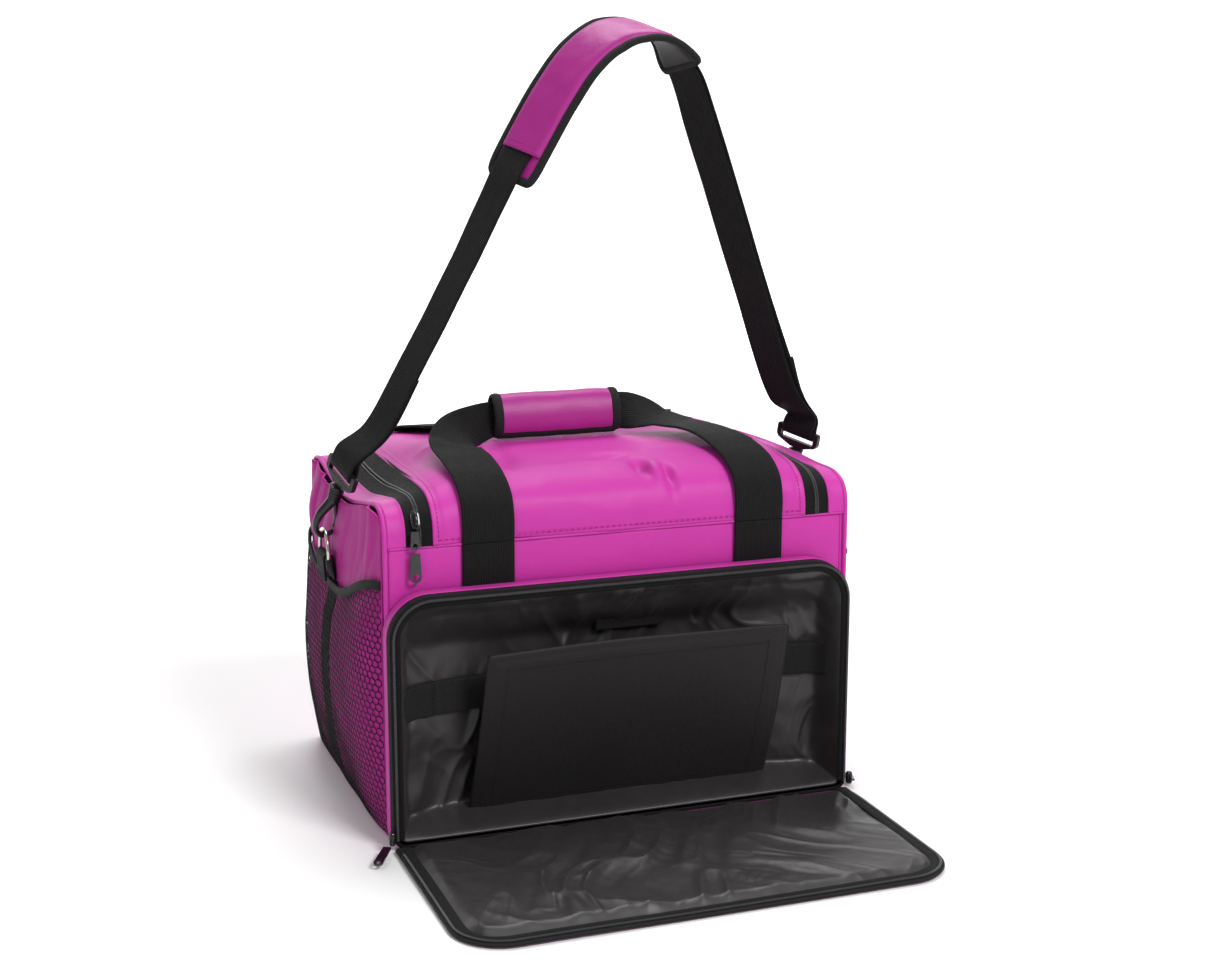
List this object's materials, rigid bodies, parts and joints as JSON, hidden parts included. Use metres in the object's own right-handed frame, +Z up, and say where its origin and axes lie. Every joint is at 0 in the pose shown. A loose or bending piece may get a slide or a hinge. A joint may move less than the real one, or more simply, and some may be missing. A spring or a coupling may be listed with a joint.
{
  "type": "skate bag",
  "caption": "Soft skate bag with a U-zip lid, fold-down front pocket, end pockets, webbing handles with a grip wrap, and a clip-on padded shoulder strap.",
  "frame": {"origin": "centre of the base panel's underside, on the floor", "axes": "+X along the bag to its right end, -Y to the front where the pocket opens, +Z up"},
  "size_m": [0.5321, 0.5771, 0.7532],
  "materials": {
    "outer_fabric": "semi-gloss coated woven polyester, fuchsia",
    "lining_fabric": "coated nylon lining, charcoal",
    "webbing": "ribbed woven webbing and tape, black",
    "mesh_fabric": "open knitted mesh, black",
    "black_plastic": "moulded acetal and black enamel, glossy",
    "nickel_wire": "nickel-plated steel wire",
    "base_board": "stiffener board and coated base cloth, black"
  },
  "bodies": {
    "bag_body": {"base_panel": "base_board", "base_board": "base_board", "front_panel": "outer_fabric", "back_panel": "outer_fabric", "left_end_panel": "outer_fabric", "right_end_panel": "outer_fabric", "left_piping": "outer_fabric", "right_piping": "outer_fabric", "left_top_strip": "outer_fabric", "right_top_strip": "outer_fabric", "back_top_strip": "outer_fabric", "top_zip_tape_outer": "webbing", "front_webbing_left": "webbing", "front_webbing_right": "webbing", "back_webbing_left": "webbing", "back_webbing_right": "webbing", "pocket_gusset": "outer_fabric", "pocket_lining": "lining_fabric", "pocket_zip_tape": "webbing", "organiser_panel": "lining_fabric", "hook_loop_strip": "webbing", "elastic_band": "webbing", "left_end_webbing": "webbing", "left_ring_tab": "webbing", "left_mesh_pocket": "mesh_fabric", "left_mesh_pocket_binding": "webbing", "right_end_webbing": "webbing", "right_ring_tab": "webbing", "right_slip_pocket": "outer_fabric", "right_slip_pocket_binding": "webbing"},
    "top_lid": {"top_lid": "outer_fabric", "top_zip_tape_lid": "webbing"},
    "front_handle": {"front_handle_webbing": "webbing", "grip_wrap": "outer_fabric"},
    "back_handle": {"back_handle_webbing": "webbing"},
    "top_slider": {"top_zip_slider": "black_plastic"},
    "top_pull": {"top_pull_link": "black_plastic"},
    "top_pull_tab": {"top_pull_ring": "black_plastic"},
    "left_pocket_slider": {"left_pocket_slider": "black_plastic"},
    "left_pocket_pull": {"left_pocket_pull": "black_plastic"},
    "right_pocket_slider": {"right_pocket_slider": "black_plastic"},
    "right_pocket_pull": {"right_pocket_pull": "black_plastic"},
    "front_flap": {"flap_panel": "outer_fabric", "flap_lining": "lining_fabric", "flap_zip_tape": "webbing"},
    "left_ring": {"left_d_ring": "nickel_wire"},
    "right_ring": {"right_d_ring": "nickel_wire"},
    "shoulder_strap": {"strap_left_leg": "webbing", "strap_right_leg": "webbing", "strap_right_return": "webbing", "strap_pad": "outer_fabric", "strap_pad_lining": "lining_fabric", "left_hook_frame": "black_plastic", "right_hook_frame": "black_plastic"},
    "left_hook": {"left_hook": "black_plastic"},
    "right_hook": {"right_hook": "black_plastic"},
    "left_gate": {"left_hook_gate": "black_plastic"},
    "right_gate": {"right_hook_gate": "black_plastic"}
  },
  "joints": [
    {"name": "lid_hinge", "type": "hinge", "parent": "bag_body", "child": "top_lid", "pos_m": [0, -0.1605, 0.277], "axis": [1, 0, 0], "range_deg": [0, 95], "deforming": ["strap_left_leg", "strap_right_leg", "strap_right_return", "strap_pad", "strap_pad_lining", "back_handle_webbing"]},
    {"name": "front_handle_hinge", "type": "hinge", "parent": "top_lid", "child": "front_handle", "pos_m": [0, -0.1605, 0.277], "axis": [1, 0, 0], "range_deg": [0, 50]},
    {"name": "back_handle_hinge", "type": "hinge", "parent": "bag_body", "child": "back_handle", "pos_m": [0, 0.16, 0.277], "axis": [-1, 0, 0], "range_deg": [0, 110]},
    {"name": "flap_hinge", "type": "hinge", "parent": "bag_body", "child": "front_flap", "pos_m": [0, -0.1925, 0.003], "axis": [-1, 0, 0], "range_deg": [0, 88]},
    {"name": "top_slider_slide", "type": "slide", "parent": "bag_body", "child": "top_slider", "axis": [-0.0191, 0.4357, 0.8999], "range_m": [-0.008, 0.008]},
    {"name": "top_pull_hinge", "type": "hinge", "parent": "top_slider", "child": "top_pull", "pos_m": [-0.2053, -0.16126, 0.29583], "axis": [-1, 0, 0], "range_deg": [0, 100]},
    {"name": "top_tab_hinge", "type": "hinge", "parent": "top_pull", "child": "top_pull_tab", "pos_m": [-0.2053, -0.16216, 0.27523], "axis": [-1, 0, 0], "range_deg": [0, 90]},
    {"name": "left_pocket_slide", "type": "slide", "parent": "bag_body", "child": "left_pocket_slider", "axis": [0, 0, 1], "range_m": [0, 0.16]},
    {"name": "left_pocket_pull_hinge", "type": "hinge", "parent": "left_pocket_slider", "child": "left_pocket_pull", "pos_m": [-0.244, -0.1915, 0.0085], "axis": [0.867, -0.4983, 0], "range_deg": [0, 80]},
    {"name": "right_pocket_slide", "type": "slide", "parent": "bag_body", "child": "right_pocket_slider", "axis": [0, 0, 1], "range_m": [0, 0.16]},
    {"name": "right_pocket_pull_hinge", "type": "hinge", "parent": "right_pocket_slider", "child": "right_pocket_pull", "pos_m": [0.231, -0.1855, 0.0085], "axis": [-0.9536, 0.3011, 0], "range_deg": [0, 80]},
    {"name": "left_ring_hinge", "type": "hinge", "parent": "bag_body", "child": "left_ring", "pos_m": [-0.253, 0.01, 0.236], "axis": [0, 1, 0], "range_deg": [-4, 4]},
    {"name": "right_ring_hinge", "type": "hinge", "parent": "bag_body", "child": "right_ring", "pos_m": [0.249, 0.01, 0.236], "axis": [0, 1, 0], "range_deg": [-4, 4]},
    {"name": "strap_swing", "type": "hinge", "parent": "bag_body", "child": "shoulder_strap", "pos_m": [0, 0.01, 0.262], "axis": [-1, 0, 0], "range_deg": [-4, 40]},
    {"name": "left_swivel", "type": "hinge", "parent": "shoulder_strap", "child": "left_hook", "pos_m": [-0.253, 0.01, 0.262], "axis": [0.2213, -0.3622, 0.9054], "range_deg": [-8, 8]},
    {"name": "left_gate_hinge", "type": "hinge", "parent": "left_hook", "child": "left_gate", "pos_m": [-0.24342, 0.00205, 0.28188], "axis": [0, 0.9285, 0.3714], "range_deg": [0, 20], "stiffness_Nm_per_rad": 0.02},
    {"name": "right_swivel", "type": "hinge", "parent": "shoulder_strap", "child": "right_hook", "pos_m": [0.249, 0.01, 0.262], "axis": [0.0605, -0.2016, 0.9776], "range_deg": [-8, 8]},
    {"name": "right_gate_hinge", "type": "hinge", "parent": "right_hook", "child": "right_gate", "pos_m": [0.2458, 0.00531, 0.28476], "axis": [0, -0.9794, -0.2019], "range_deg": [0, 20], "stiffness_Nm_per_rad": 0.02}
  ]
}
